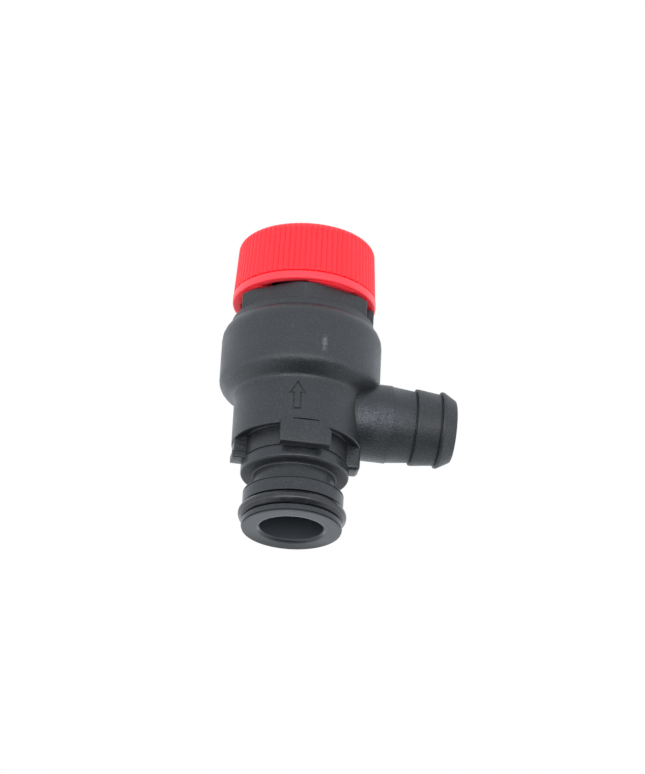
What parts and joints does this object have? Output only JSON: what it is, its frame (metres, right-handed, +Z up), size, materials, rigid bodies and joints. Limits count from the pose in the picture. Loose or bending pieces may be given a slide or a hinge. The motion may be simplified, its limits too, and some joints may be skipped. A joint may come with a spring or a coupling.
{
  "type": "pressure relief valve",
  "caption": "Spring-loaded pressure relief valve with a push-in spigot and O-ring, barbed side outlet, hexagon bonnet and a ribbed lift-and-turn test knob.",
  "frame": {"origin": "centre of the inlet end face, where the spigot enters its socket", "axes": "+Z up the valve's axis from the inlet to the knob, +X along the barbed outlet, the flat front key faces -Y"},
  "size_m": [0.0475, 0.0322, 0.0616],
  "materials": {
    "black_nylon": "fine moulded grain, satin, glass-filled nylon",
    "red_plastic": "semi-gloss moulded",
    "black_rubber": "smooth, lightly greased",
    "brass": "turned",
    "zinc_steel": "zinc plated",
    "spring_steel": "drawn wire",
    "white_acetal": "smooth"
  },
  "bodies": {
    "housing": {"valve_body": "black_nylon", "inlet_oring": "black_rubber", "bonnet": "black_nylon", "diaphragm": "black_rubber", "slip_ring": "white_acetal", "adjusting_ring": "brass", "spindle_bush": "white_acetal", "thrust_washer": "zinc_steel", "main_spring": "spring_steel"},
    "spindle_group": {"spindle": "brass", "disc_holder": "brass", "seat_seal": "black_rubber", "seal_plate": "zinc_steel", "seal_screw": "zinc_steel", "clamp_washer": "zinc_steel", "clamp_nut": "brass", "lower_spring_plate": "brass", "knob_screw": "zinc_steel", "knob_washer": "zinc_steel"},
    "knob": {"knob": "red_plastic", "knob_cap": "red_plastic"}
  },
  "joints": [
    {"name": "spindle_lift", "type": "slide", "parent": "housing", "child": "spindle_group", "axis": [0, 0, 1], "range_m": [0, 0.0016], "stiffness_N_per_m": 2000, "deforming": ["main_spring", "diaphragm"]},
    {"name": "knob_turn", "type": "hinge", "parent": "spindle_group", "child": "knob", "pos_m": [0, 0, 0.055], "axis": [0, 0, 1], "range_deg": [0, 44]}
  ],
  "couplings": [
    {"joint": "knob_turn", "follows": "spindle_lift", "rad_per_m": 479.97}
  ]
}
